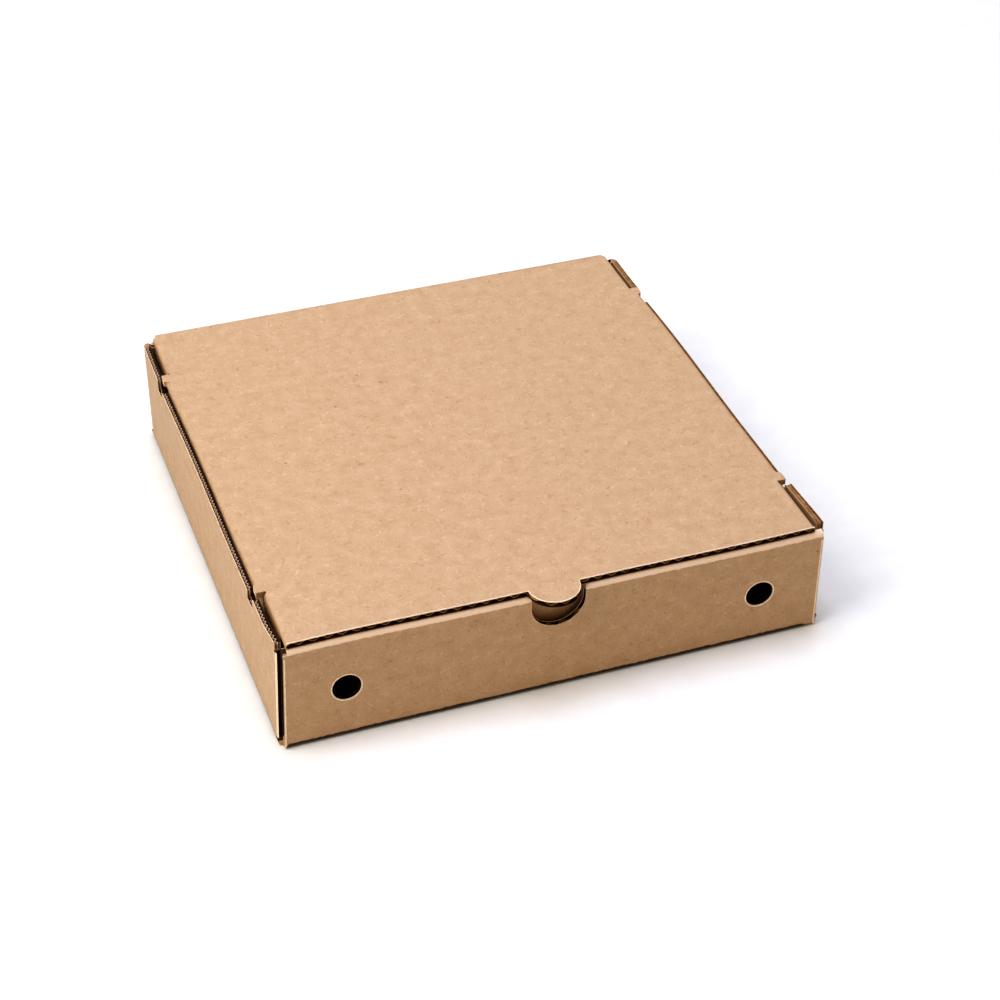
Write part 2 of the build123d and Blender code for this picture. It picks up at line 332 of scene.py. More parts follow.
# %% [markdown]
# ## Pale folds and painted highlights
#
# Where the board is scored and bent, its outer liner stretches and its colour turns paler, up to a line
# that wavers a little. Part of that paleness is painted highlight. The rolled front edge is made paler
# than the stretch alone would make it. The fold at the front of the left wall, on the lit side, is pale,
# while the right one is not. The lid's side folds also get a touch of it. The skins carry a number for
# that, in millimetres: how far a point is inside a fold, and below zero outside it. The group turns it
# into a mask with a wavering border.

# %% Stretched fold group
def make_wavering_mask():
    """Group that turns a depth into a fold and a place, in millimetres, into a mask with a wavering border.
    """
    tree, given, result = new_group(
        "wavering_mask",
        "ShaderNodeTree",
        [
            ("Into Fold", "NodeSocketFloat", 0.0),
            ("Place", "NodeSocketVector", None),
            ("Waver", "NodeSocketFloat", 1.6),
            ("Softness", "NodeSocketFloat", 0.25),
        ],
        [("Mask", "NodeSocketFloat")],
    )
    ragged = noise_value(tree, given["Place"], 0.35, 3.0, Roughness=0.6)
    depth = maths(tree, "ADD", given["Into Fold"], swing(tree, ragged, given["Waver"]))
    tree.links.new(maths(tree, "DIVIDE", depth, given["Softness"], clamp=True), result["Mask"])
    return tree


wavering_mask = make_wavering_mask()

# %% [markdown]
# ## Kraft liners, cut edges and the inside of a flute
#
# The outside of the board is smooth liner. A cut edge is rough and paler, because the knife leaves loose
# fibre ends, and the hollow between the liners is near-black, for dust and painted shade. All of them share
# the pulp group. The liner reads the blank map, so its pulp runs round the folds as it does on real board.
# Its pale folds, which are partly painted highlight, and the painted shade along its bottom folds are two
# uses of the wavering mask group.

# %% Kraft materials
def new_material(name):
    """A material with a Principled shader, its tree and its shader node."""
    material = bpy.data.materials.new(name)
    material.use_nodes = True
    tree = material.node_tree
    return material, tree, tree.nodes["Principled BSDF"]


def in_millimetres(tree, vector):
    """The vector, scaled from metres to millimetres."""
    scale = (1 / mm, 1 / mm, 1 / mm)
    return place(tree, "ShaderNodeMapping", {"Vector": vector, "Scale": scale}).outputs[0]


def tone_colours(tree, tone, stops):
    """A colour ramp over the tone: stops are places and colours."""
    ramp = place(tree, "ShaderNodeValToRGB", {0: tone})
    elements = ramp.color_ramp.elements
    while len(elements) < len(stops):
        elements.new(0.5)
    for element, (position, colour) in zip(elements, stops):
        element.position = position
        element.color = (*colour, 1.0)
    return ramp.outputs[0]


def depth_mask(tree, label, where):
    """Where the skin's depth of this name is inside its mark: a pale fold with painted highlight, or
    painted shade.
    """
    depth = place(tree, "ShaderNodeAttribute", attribute_name=label).outputs["Fac"]
    return use_group(tree, wavering_mask, {"Into Fold": depth, "Place": where})["Mask"]


def make_liner_material():
    """Smooth kraft liner on the blank map: clouds, curled fibres, specks, pale folds, painted highlight and
    shade.
    """
    material, tree, shader = new_material("kraft_liner")
    where = in_millimetres(tree, place(tree, "ShaderNodeUVMap", uv_map="blank").outputs[0])
    amounts = {"Cloud Size": 7.0, "Fibre Size": 4.4, "Cloud Amount": 0.45, "Fibre Amount": 0.22}
    paper = use_group(tree, pulp, {"Place": where, **amounts})
    kraft = [(0.1, (0.4, 0.246, 0.125)), (0.5, (0.54, 0.375, 0.23)), (0.9, (0.68, 0.51, 0.35))]
    # Painted shade on the bottom folds, and pale folds that are partly painted highlight.
    bark, painted_foot_shade, stretch_and_painted_highlight = (0.13, 0.065, 0.03, 1.0), (0.045, 0.022, 0.01, 1.0), (0.92, 0.74, 0.58, 1.0)
    fold = depth_mask(tree, "into_fold_and_painted_highlight", where)
    colour = tone_colours(tree, paper["Tone"], kraft)
    for mask, amount, tint in (
        (paper["Specks"], 0.5, bark),
        (fold, 0.8, stretch_and_painted_highlight),
        (depth_mask(tree, "into_painted_foot_shade", where), 0.95, painted_foot_shade),
    ):
        colour = mix_colours(tree, maths(tree, "MULTIPLY", mask, amount), colour, tint)
    tree.links.new(colour, shader.inputs["Base Color"])
    height = paper["Height"]
    for relief, amount in ((use_group(tree, washboard, {"Place": where})["Height"], 0.12), (fold, 0.8)):
        height = maths(tree, "ADD", height, maths(tree, "MULTIPLY", relief, amount))
    bump = place(tree, "ShaderNodeBump", {"Height": height, "Distance": 0.06 * mm, "Strength": 0.6})
    tree.links.new(bump.outputs[0], shader.inputs["Normal"])
    shader.inputs["Roughness"].default_value = 0.6
    return material


def make_rough_material(name, low, middle, high):
    """Rough paper at a cut, on Object coordinates, in three colours from dark to pale."""
    material, tree, shader = new_material(name)
    where = in_millimetres(tree, place(tree, "ShaderNodeTexCoord").outputs["Object"])
    amounts = {"Cloud Size": 2.5, "Fibre Size": 1.1, "Cloud Amount": 1.0, "Fibre Amount": 0.18}
    paper = use_group(tree, pulp, {"Place": where, **amounts})
    colour = tone_colours(tree, paper["Tone"], [(0.2, low), (0.5, middle), (0.8, high)])
    tree.links.new(colour, shader.inputs["Base Color"])
    bump = place(tree, "ShaderNodeBump", {"Height": paper["Height"], "Distance": 0.12 * mm})
    tree.links.new(bump.outputs[0], shader.inputs["Normal"])
    shader.inputs["Roughness"].default_value = 0.85
    return material


liner_material = make_liner_material()
cut_material, lip_material, rim_and_painted_highlight_material, crushed_material, hollow_and_painted_shade_material, medium_material = [
    make_rough_material(*row)
    for row in (
        ("cut_kraft", (0.4, 0.23, 0.11), (0.56, 0.36, 0.2), (0.7, 0.5, 0.31)),
        ("torn_lip", (0.55, 0.37, 0.22), (0.74, 0.56, 0.39), (0.88, 0.72, 0.54)),
        # Pale rims: crushed paper, and painted highlight where a rim lies in shade.
        ("stretched_rim_and_painted_highlight", (0.74, 0.56, 0.4), (0.9, 0.74, 0.56), (0.97, 0.86, 0.7)),
        ("crushed_edge", (0.16, 0.075, 0.03), (0.36, 0.2, 0.09), (0.5, 0.31, 0.16)),
        # Near-black: dust, and painted shade in the flutes and in places that lie deep in shade.
        ("flute_hollow_and_painted_shade", (0.03, 0.014, 0.006), (0.07, 0.033, 0.014), (0.12, 0.06, 0.026)),
        # The medium's pale stop is partly painted highlight, to lift it out of the shade of its recess.
        ("flute_medium", (0.22, 0.1, 0.04), (0.55, 0.32, 0.15), (0.8, 0.55, 0.32)),
    )
]
print("materials", [material.name for material in bpy.data.materials])

# %% [markdown]
# ## Skins for the tray and the lid
#
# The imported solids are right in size, but their flat panels are single faces, and real board is never
# that flat. Each solid gets a skin: a copy of its mesh, with loose triangles joined into whole faces and
# then cut by a lattice one flute wide, so that there are points everywhere to move. The copy is what gets
# materials, a blank map and a little unevenness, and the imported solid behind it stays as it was.

# %% Copy of a solid
def solid_copy(node):
    """The node's mesh as a bmesh, with its loose triangles joined and its flat faces whole."""
    skin = bmesh.new()
    skin.from_mesh(frame["nodes"][node].data)
    bmesh.ops.remove_doubles(skin, verts=skin.verts[:], dist=0.002 * mm)
    flat = {"angle_limit": math.radians(0.2), "use_dissolve_boundaries": False}
    bmesh.ops.dissolve_limit(skin, verts=skin.verts[:], edges=skin.edges[:], **flat)
    return skin


tray_skin = solid_copy("tray")
lid_skin = solid_copy("lid")
print("whole faces of the tray", len(tray_skin.faces), "and of the lid", len(lid_skin.faces))

# %% [markdown]
# ## Opening the edges
#
# The imported lid has a stand-in for the wave of the medium along its front edge: straight struts. The
# wave is one of the first things an eye finds on such a box, so here the struts are cut away, and a curved
# sheet of medium takes their place further down. Beside each end of the front panel, the side wall's fold
# is pressed in, which leaves an upright groove painted dark as shade, and above it the wall's end opens
# between its liners.
# And where the finger notch runs out in the rolled edge, its hollow is closed, because the fold has
# pressed the liners together there. Boolean modifiers do all of it, because everything round the cuts has
# to stay exactly as it is.

# %% Cut with prisms
def prism(name, section, to_space, start, end):
    """A straight body with the given section, from start to end."""
    mesh = bpy.data.meshes.new(name)
    count = len(section)
    corners = [to_space(p, q, start) for p, q in section] + [to_space(p, q, end) for p, q in section]
    sides = [(i, (i + 1) % count, count + (i + 1) % count, count + i) for i in range(count)]
    mesh.from_pydata(corners, [], [tuple(range(count))[::-1], tuple(range(count, 2 * count)), *sides])
    made = bpy.data.objects.new(name, mesh)
    scene.collection.objects.link(made)
    outward = bmesh.new()
    outward.from_mesh(mesh)
    bmesh.ops.recalc_face_normals(outward, faces=outward.faces[:])
    outward.to_mesh(mesh)
    outward.free()
    return made


def both_sides(name, plan, bottom, top):
    """Upright prisms at both side walls, on a plan drawn for the right one."""
    return [
        prism(f"{name}_{side}", [(side * x, y) for x, y in plan], lambda x, y, z: (x, y, z), bottom, top)
        for side in (-1, 1)
    ]


def reshape(skin, cutters, fillers=()):
    """The skin without the volume of the cutters, and with the volume of the fillers."""
    mesh = bpy.data.meshes.new("uncut_skin")
    skin.to_mesh(mesh)
    skin.free()
    uncut = bpy.data.objects.new("uncut_skin", mesh)
    scene.collection.objects.link(uncut)
    steps = [(cutter, "DIFFERENCE") for cutter in cutters] + [(filler, "UNION") for filler in fillers]
    for other, operation in steps:
        boolean = uncut.modifiers.new("reshape", "BOOLEAN")
        boolean.object = other
        boolean.operation = operation
        boolean.solver = "EXACT"
    bpy.context.view_layer.update()
    evaluated = uncut.evaluated_get(bpy.context.evaluated_depsgraph_get())
    rest = bmesh.new()
    rest.from_mesh(evaluated.to_mesh())
    for leftover in (uncut, *cutters, *fillers):
        bpy.data.objects.remove(leftover)
    return rest


# %% Open the lid's front edge
grip = 0.02 * mm
mouth_half = wall_inside - 2.3 * mm - liner
mouth_depth = 6.1 * mm
mouth_floor, mouth_roof = lid_underside + liner - grip, lid_top - liner + grip
mouth_shoulder = 1.3 * mm
mouth_section = [
    (-mouth_half, mouth_floor),
    (mouth_half, mouth_floor),
    (mouth_half, mouth_roof - mouth_shoulder),
    (mouth_half - mouth_shoulder, mouth_roof),
    (mouth_shoulder - mouth_half, mouth_roof),
    (-mouth_half, mouth_roof - mouth_shoulder),
]
strut_cutter = prism(
    "strut_cutter", mouth_section, lambda x, z, y: (x, y, z), lid_low.y - board, lid_front + mouth_depth
)
before = len(lid_skin.faces)
lid_skin = reshape(lid_skin, [strut_cutter])
print("lid faces", before, "and without struts", len(lid_skin.faces))

# %% Press in the folds beside the front panel
fold_lip = 0.8 * mm
groove_in, groove_out = half_width - 2.3 * mm, half_width - fold_lip
groove_front, groove_back = front_face + board - 0.4 * mm, front_face + board + 2.9 * mm
groove_plan = [
    (groove_in, groove_front),
    (groove_out, groove_front),
    (groove_out, groove_back - mm),
    (groove_in, groove_back),
]
groove_cutters = both_sides("groove_cutter", groove_plan, board + 1.2 * mm, roll_underside + board)

# %% Open the front ends of the side walls
front_end = front_face + 2 * board + fold_slip
wall_end_foot, wall_end_top = roll_underside + 0.1 * mm, 56.0 * mm
end_in, end_out = wall_inside + edge_liner, half_width - edge_liner
end_plan = [
    (end_in, front_end - mm),
    (end_out, front_end - mm),
    (end_out, front_end + edge_hollow),
    (end_in, front_end + edge_hollow),
]
end_cutters = both_sides("end_cutter", end_plan, wall_end_foot, wall_end_top + mm)

# %% Close the ends of the finger notch
notch_x, notch_radius, notch_z = -1.2 * mm, 12.8 * mm, 49.2 * mm
fold_radius = 2.6 * mm
filler_radius = fold_radius - 0.01 * mm
fold_angles = [math.radians(90.5 + 57.3 * step / 10) for step in range(11)]
fold_round = [
    (
        front_face + fold_radius + filler_radius * math.cos(angle),
        roll_top - fold_radius + filler_radius * math.sin(angle),
    )
    for angle in fold_angles
]
fold_foot = roll_underside - hair
filler_section = [(fold_round[0][0], fold_foot), *fold_round, (fold_round[-1][0], fold_foot)]
notch_fillers = [
    prism(
        f"notch_filler_{side}",
        filler_section,
        lambda y, z, x: (x, y, z),
        notch_x + side * (notch_radius + 0.02 * mm),
        notch_x + side * (notch_radius + 3.4 * mm),
    )
    for side in (-1, 1)
]
tray_skin = reshape(tray_skin, groove_cutters + end_cutters, notch_fillers)
print("tray faces with the grooves", len(tray_skin.faces))

# %% [markdown]
# ## The lattice
#
# A bisect cuts every face that a plane crosses and changes no shape. One plane for each flute in all
# three directions gives the panels a grid of points. A few more planes mark where the folds begin, where
# the liners of the front panel end and how deep the bright rim of a vent goes before its painted shade
# begins, so that each of those has a crisp border.

# %% Cut by planes
def bisect_all(skin, axis, place_on_axis):
    """Cuts the whole skin along a plane square to an axis."""
    point, normal = Vector((0, 0, 0)), Vector((0, 0, 0))
    point[axis] = place_on_axis
    normal[axis] = 1
    everything = skin.verts[:] + skin.edges[:] + skin.faces[:]
    bmesh.ops.bisect_plane(skin, geom=everything, plane_co=point, plane_no=normal, dist=0.001 * mm)


def cut_by_lattice(skin, spacing):
    """Cuts every face of the skin along planes one spacing apart, in all three directions."""
    for axis in range(3):
        low = min(vert.co[axis] for vert in skin.verts)
        high = max(vert.co[axis] for vert in skin.verts)
        for step in range(1, int((high - low) / spacing) + 1):
            bisect_all(skin, axis, low + (step - 0.37) * spacing)


vent_rim = 0.8 * mm
for label, skin in (("tray", tray_skin), ("lid", lid_skin)):
    cut_by_lattice(skin, flute_pitch)
    bisect_all(skin, 2, roll_underside)
    if label == "tray":
        for behind_face in (edge_liner, vent_rim, board - edge_liner):
            bisect_all(skin, 1, front_face + behind_face)
    open_edges = sum(1 for edge in skin.edges if not edge.is_manifold)
    print(label, "faces after the lattice", len(skin.faces), "open edges", open_edges)

# %% [markdown]
# ## Liner, cut edge or hollow
#
# Every face is smooth liner, a place where the die has cut through the board, or the inside of a hollow
# between the liners. Painting them by hand would take an evening. A hollow gives itself away: something
# faces it from less than a board's thickness, or stands close on both of its sides. A cut edge is told by
# its direction and its place, because each panel is cut through in only one direction. Some places are
# no hollow but lie deep in shade: in the vents, in the grooves beside the front panel, at the panel's
# corners, on the left wall's inner rim, on the right wall's front fold and under the lid's front edge.
# They get the hollow's near-black colour too, as painted shade.

# %% Which faces are hollow
def is_hollow(around, centre, normal, gap):
    """Whether a face is inside a hollow no wider than the gap, on its sides or at its bottom."""
    start = centre + normal * 0.01 * mm
    if around.ray_cast(start, normal, gap)[0] is not None:
        return True
    one_way = normal.orthogonal().normalized()
    for along in (one_way, normal.cross(one_way)):
        both = [around.ray_cast(start, side * along, gap)[0] for side in (-1, 1)]
        if all(hit is not None for hit in both) and (both[0] - both[1]).length < gap:
            return True
    return False


# %% Which faces are cut
roll_half = half_width - 5.4 * mm
inner_panel_back = front_face + 3 * board + 2 * fold_slip
vent_x, vent_z, vent_radius = half_width - 31.5 * mm, 27.2 * mm, 7.0 * mm


def gets_painted_shade(centre):
    """Whether a place on the tray gets painted shade: in a vent, a groove, a panel corner, the left inner
    rim or the right fold.
    """
    x, y, z = abs(centre.x), centre.y, centre.z
    at_vent = math.hypot(x - vent_x, z - vent_z) < vent_radius + 1.1 * mm
    in_vent = at_vent and front_face + vent_rim < y < inner_panel_back - liner
    in_groove = groove_in - 2 * hair < x < groove_out + hair and board < z < roll_underside
    in_groove = in_groove and groove_front - 2 * hair < y < groove_back + 2 * hair
    between_liners = front_face + edge_liner < y < front_face + board - edge_liner
    in_corner = between_liners and roll_half < x < groove_in + 0.2 * mm and z > 50 * mm
    on_inner_rim = wall_inside + hair < -centre.x < end_in + hair and z > 49 * mm
    on_right_fold = centre.x > wall_inside + 1.6 * mm and y < front_end - 0.2 * mm and z > board
    return in_vent or in_groove or in_corner or on_inner_rim or on_right_fold


def is_lower_rim(centre):
    """Whether a place is on the lower liner's rim at the lid's front edge, painted as the shade of the
    upper one.
    """
    return centre.y < lid_front + hair and grip < centre.z - lid_underside < liner + 0.03 * mm


def is_cut_on_lid(centre, normal):
    """Whether this face of the lid is a cut edge."""
    end = abs(normal.y) > 0.3 and centre.y < hinge.y - board
    foot = normal.z < -0.3 and centre.z < lid_underside - board
    tab = centre.y < lid_front and abs(normal.z) < 0.5
    return end or foot or tab


def is_cut_on_tray(centre, normal):
    """Whether this face of the tray is a cut edge."""
    x, y, z = abs(centre.x), centre.y, centre.z
    in_front_wall = front_face + hair < y < inner_panel_back - hair
    on_back = y > half_depth - board - 0.01 * mm
    top = normal.z > 0.3 and z > 45 * mm and not on_back and not (in_front_wall and x < roll_half)
    in_height = 1.2 * board < z < roll_underside
    inside_cut = in_front_wall and abs(normal.y) < 0.3 and in_height and x < wall_inside
    outer_end = y < front_face + board and x > wall_inside
    at_end = outer_end or abs(x - roll_half) < 2 * hair
    panel_end = in_front_wall and abs(normal.x) > 0.5 and z > board and at_end
    flap_end = abs(normal.x) > 0.5 and 60 * mm < x < 80 * mm and z > board
    notch_side = abs(normal.y) > 0.5 and x > wall_inside and abs(y) < 93 * mm
    return top or inside_cut or panel_end or flap_end or notch_side


# %% Give each face its material
liner_index, cut_index, hollow_and_painted_shade_index = 0, 1, 2
widest_hollow = board - 2 * liner + hair


def ends_in_roll(centre):
    """Whether a place is at an end of the finger notch, where it runs out in the rolled edge."""
    near_end = abs(abs(centre.x - notch_x) - notch_radius) < board
    return near_end and centre.y < front_face + board + liner and centre.z > roll_underside - 2 * hair


def sort_faces(skin, is_cut, is_dark):
    """Gives each face of the skin its material index."""
    skin.normal_update()
    around = BVHTree.FromBMesh(skin)
    counts = [0, 0, 0]
    for face in skin.faces:
        centre, normal = face.calc_center_median(), face.normal
        if skin is tray_skin and ends_in_roll(centre) and (abs(normal.x) > 0.5 or normal.z > 0.1):
            face.material_index = cut_index if abs(normal.x) > 0.5 else liner_index
        elif is_dark(centre) or is_hollow(around, centre, normal, widest_hollow):
            face.material_index = hollow_and_painted_shade_index
        else:
            face.material_index = cut_index if is_cut(centre, normal) else liner_index
        counts[face.material_index] += 1
    print("liner, cut and hollow faces", counts)


sort_faces(tray_skin, is_cut_on_tray, gets_painted_shade)
sort_faces(lid_skin, is_cut_on_lid, is_lower_rim)

# %% [markdown]
# ## The blank map
#
# Unfold the box in your head: the side walls and the tuck flaps lie flat beside the base and the lid,
# and the front and back walls lie before and behind it. A point's place on that flat blank is the best
# map for paper. U runs across the flutes and V along them, in metres, so patterns keep their real size.

# %% Blank map
def place_on_blank(point, normal, is_lid):
    """Where a point of the box lies on the flat blank, in metres."""
    x, y, z = point
    side = 1 if x > 0 else -1
    if abs(normal.z) > 0.7:
        return x, y
    if is_lid:
        return (side * (half_width + lid_top - z), y) if abs(normal.x) > 0.7 else (x, y + z)
    if abs(normal.x) > 0.7:
        return side * (half_width + z), y
    return x, (half_depth + z) * (1 if y > 0 else -1)


def map_blank(skin, is_lid):
    """Writes the blank map on every corner of every face. The lid lies beyond the back wall."""
    layer = skin.loops.layers.uv.new("blank")
    beyond = 2.6 * half_depth if is_lid else 0.0
    for face in skin.faces:
        for corner in face.loops:
            across, along = place_on_blank(corner.vert.co, face.normal, is_lid)
            corner[layer].uv = (across, along + beyond)


map_blank(tray_skin, False)
map_blank(lid_skin, True)


# %% Depth into the folds
def into_tray_fold_and_painted_highlight(point):
    """How far a point of the tray is inside its pale front folds, partly painted highlight; below zero
    outside.
    """
    on_side_fold = -point.x > wall_inside + 1.8 * mm and board < point.z < roll_underside + 0.01 * mm
    if on_side_fold:
        return front_face + 2 * board - 0.4 * mm - point.y
    return min(point.z - roll_underside - 0.4 * mm, front_face + 5.5 * mm - point.y)


def into_lid_fold_and_painted_highlight(point):
    """How far a point of the lid is inside one of its side folds, which get a touch of painted highlight.
    """
    return min(abs(point.x) - (wall_inside - 0.2 * mm), hair) if point.z > lid_underside else -board


def into_painted_foot_shade(point):
    """How far a point is inside the painted shade along the bottom folds, where they round off to the
    floor.
    """
    on_outside = max(abs(point.x), abs(point.y)) > half_width - board
    at_front_corner = abs(point.x) > half_width - 4 * mm and point.y < front_face + 8 * mm
    return 2.9 * mm - point.z if on_outside and not at_front_corner else -board


def write_depths(skin, label, depth):
    """Stores a depth on the skin's points, in millimetres."""
    layer = skin.verts.layers.float.new(label)
    for vert in skin.verts:
        vert[layer] = depth(vert.co) / mm


write_depths(tray_skin, "into_fold_and_painted_highlight", into_tray_fold_and_painted_highlight)
write_depths(lid_skin, "into_fold_and_painted_highlight", into_lid_fold_and_painted_highlight)
for skin in (tray_skin, lid_skin):
    write_depths(skin, "into_painted_foot_shade", into_painted_foot_shade)

# %% [markdown]
# ## A box that isn't quite flat
#
# Board relaxes after folding: the lid rises by half a millimetre in places and the walls bow. The tray
# and the lid fit each other within 0.3 mm, so both follow the same slow field, which also fades out
# towards the crease that the lid turns about. The front end of the box in the photo is also racked: the
# ends of both side walls stand a millimetre or so to the right, and the left one leans in. The folds at
# the rear corners stand a little higher than the rest.
#
# The noise vector starts from the clock unless it has a seed, and then each run would bend the box in
# another way. So it gets one first.

# %% Unevenness
sag_size = 95 * mm
sag_depth = 0.9 * mm
sag_seed = 4
noise.seed_set(sag_seed)


def unevenness(point):
    """How far board at this place has moved from flat."""
    from_crease = min(max((hinge.y - 8 * mm - point.y) / (40 * mm), 0), 1)
    above_floor = min(max(point.z / (30 * mm), 0), 1)
    field = noise.noise_vector(point / sag_size + Vector((3.1, 7.7, 1.3)))
    return Vector((field.x, field.y, field.z)) * sag_depth * from_crease * above_floor


def smooth_step(value, start, end):
    """A soft change from 0 at start to 1 at end."""
    share = min(max((value - start) / (end - start), 0), 1)
    return share * share * (3 - 2 * share)


rack = 1.3 * mm
rear_rise = 1.3 * mm
rear_flap_face = half_depth - 2 * board - fold_slip


def tray_field(point):
    """The unevenness of the tray, with its walls' front ends racked and its rear corner folds raised."""
    start = 108 * mm if point.x < 0 else 75 * mm
    at_end = smooth_step(-point.y, start, 125 * mm) * smooth_step(abs(point.x), 116 * mm, 126 * mm)
    wall_only = smooth_step(point.x, 127.9 * mm, 129.2 * mm)
    lean = point.z / roll_top * 1.3 - 0.3 if point.x < 0 else 0.75 + 0.35 * wall_only
    in_rear_flap = rear_flap_face + hair < point.y < half_depth - board
    at_rear_fold = in_rear_flap and abs(point.x) > wall_inside - hair
    rise = rear_rise * smooth_step(point.z, 48 * mm, 54.6 * mm) if at_rear_fold else 0
    return unevenness(point) + Vector((rack * at_end * lean, 0, rise))


fields = {"tray": tray_field, "lid": unevenness}
for body, skin in (("tray", tray_skin), ("lid", lid_skin)):
    for vert in skin.verts:
        vert.co += fields[body](vert.co)

# %% [markdown]
# ## From bmesh to pieces
#
# A skin turns into an object with smooth folds and crisp cuts: faces that meet at a small angle are
# shaded as one surface, and sharper corners stay sharp. Weighted normals keep the flat panels flat in the
# shading, although the folds beside them are smooth.

# %% Finish a piece
smooth_angle = math.radians(32)


def plain_mesh(piece):
    """Turns the piece's evaluated form into its own mesh and removes its modifiers."""
    bpy.context.view_layer.update()
    mesh = bpy.data.meshes.new_from_object(piece.evaluated_get(bpy.context.evaluated_depsgraph_get()))
    piece.modifiers.clear()
    piece.data = mesh
    return piece


def new_piece(name, mesh):
    """An object of the mesh, at the origin."""
    piece = bpy.data.objects.new(name, mesh)
    scene.collection.objects.link(piece)
    return piece


def count_triangles(piece):
    """Prints how many triangles a piece has."""
    triangles = sum(len(face.vertices) - 2 for face in piece.data.polygons)
    print(piece.name, "triangles", triangles)


def finish_skin(skin, name, materials):
    """Makes an object of the skin, with smooth folds and weighted normals."""
    mesh = bpy.data.meshes.new(name)
    skin.to_mesh(mesh)
    skin.free()
    for material in materials:
        mesh.materials.append(material)
    mesh.shade_smooth()
    mesh.set_sharp_from_angle(angle=smooth_angle)
    piece = new_piece(name, mesh)
    weighted = piece.modifiers.new("flat_panels", "WEIGHTED_NORMAL")
    weighted.keep_sharp = True
    plain_mesh(piece)
    count_triangles(piece)
    return piece


board_materials = [liner_material, cut_material, hollow_and_painted_shade_material]
tray_piece = finish_skin(tray_skin, "folded_tray", board_materials)
lid_piece = finish_skin(lid_skin, "hinged_lid", board_materials)
for piece, node, body, slot in (
    (tray_piece, "tray", "tray", "tray_board"),
    (lid_piece, "lid", "lid", "lid_board"),
):
    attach(piece, body)
    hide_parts(node)

# %% [markdown]
# ## Following the die
#
# The medium and the torn liners belong to the cut edges, so both need the line that the die has cut. A
# line is a row of points in the middle of the board's thickness, with the way into the board at each
# point. The way through the board is square to both. Straight runs and rounds are enough for all of them.

# %% Lines of the die
def even_steps(corners, step):
    """Points along a row of corners, about one step apart."""
    corners = np.array(corners, float)
    lengths = np.linalg.norm(np.diff(corners, axis=0), axis=1)
    travelled = np.concatenate([[0], np.cumsum(lengths)])
    count = max(2, int(round(travelled[-1] / step)) + 1)
    wanted = np.linspace(0, travelled[-1], count)
    return np.stack([np.interp(wanted, travelled, column) for column in corners.T], axis=1)


def round_points(centre, radius, start, end):
    """Points on a round in a plane, from one angle to another, in degrees."""
    count = max(4, int(abs(end - start) / 6) + 1)
    angles = np.radians(np.linspace(start, end, count))
    return [(centre[0] + radius * math.cos(a), centre[1] + radius * math.sin(a)) for a in angles]


def with_rounds(corners, radius):
    """The corners of a line, with a round at each of them except the first and the last."""
    corners = [np.array(corner, float) for corner in corners]
    line = [corners[0]]
    for before, corner, after in zip(corners, corners[1:], corners[2:]):
        back, ahead = before - corner, after - corner
        back, ahead = back / np.linalg.norm(back), ahead / np.linalg.norm(ahead)
        half_angle = math.acos(max(-1.0, min(1.0, float(back @ ahead)))) / 2
        middle = corner + (back + ahead) / np.linalg.norm(back + ahead) * radius / math.sin(half_angle)
        start = corner + back * radius / math.tan(half_angle) - middle
        end = corner + ahead * radius / math.tan(half_angle) - middle
        for share in np.linspace(0, 1, 6):
            arm = start * (1 - share) + end * share
            line.append(middle + arm / np.linalg.norm(arm) * radius)
    return [*line, corners[-1]]


def die_line(flat_points, to_space, across_axis, step, keep_left=True, lips=(-1, 1)):
    """A cut line: its points, the ways into the board and through it, and the axis across the flutes.

    The points are drawn in the panel's own plane. The board lies to the left of the line, or to its right.
    Lips says which of the two liners is torn there.
    """
    flat = even_steps(flat_points, step)
    ahead = np.gradient(flat, axis=0)
    ahead /= np.linalg.norm(ahead, axis=1)[:, None]
    inward = np.stack([-ahead[:, 1], ahead[:, 0]], axis=1) * (1 if keep_left else -1)
    points = np.array([to_space(*p) for p in flat])
    inner = np.array([to_space(*p) for p in flat + inward * mm])
    into = (inner - points) / mm
    forward = np.array([to_space(*p) for p in flat + ahead * mm]) - points
    through = np.cross(forward, into)
    through /= np.linalg.norm(through, axis=1)[:, None]
    return {"points": points, "into": into, "through": through, "across": across_axis, "lips": lips}


# %% Lines on the lid
thumb_tab_x = (lid_low.x + lid_high.x) / 2 - 3.4 * mm
lid_middle = lid_top - board / 2
fine_step, coarse_step, serrated_step = 0.45 * mm, 0.8 * mm, 0.35 * mm
zone_y = half_depth - 38.0 * mm
flap_foot = lid_top - 44.0 * mm
flap_front, flap_rear = inner_panel_back + mm, half_depth - 2 * board - 1.5 * mm
flap_taper, flap_corner = 7.0 * mm, 6.0 * mm
joggle, end_step = 10.0 * mm, 2.0 * mm


def flap_x(y):
    """Where the middle of a tuck flap's board is across the box: it is set in at both ends."""
    set_in = min(max((abs(y) - (zone_y - joggle)) / joggle, 0), 1)
    return wall_inside - lid_gap - board / 2 - end_step * set_in


lid_front_corners = [
    (-mouth_half, lid_front),
    *round_points((thumb_tab_x, lid_front), thumb_tab_radius, 180, 360),
    (mouth_half, lid_front),
]
front_line = die_line(lid_front_corners, lambda x, y: (x, y, lid_middle), 0, fine_step, lips=(1,))
flap_lines = []
flap_corners = [
    (flap_front, lid_underside - board),
    (flap_front + flap_taper, flap_foot),
    (flap_rear - flap_taper, flap_foot),
    (flap_rear, lid_underside - board),
]
for side in (-1, 1):
    flap_edge = with_rounds(flap_corners, flap_corner)
    flap_lines.append(die_line(flap_edge, lambda y, z, side=side: (side * flap_x(y), y, z), 2, coarse_step))
lid_lines = [front_line, *flap_lines]
print("lines on the lid", len(lid_lines), "points", sum(len(line["points"]) for line in lid_lines))

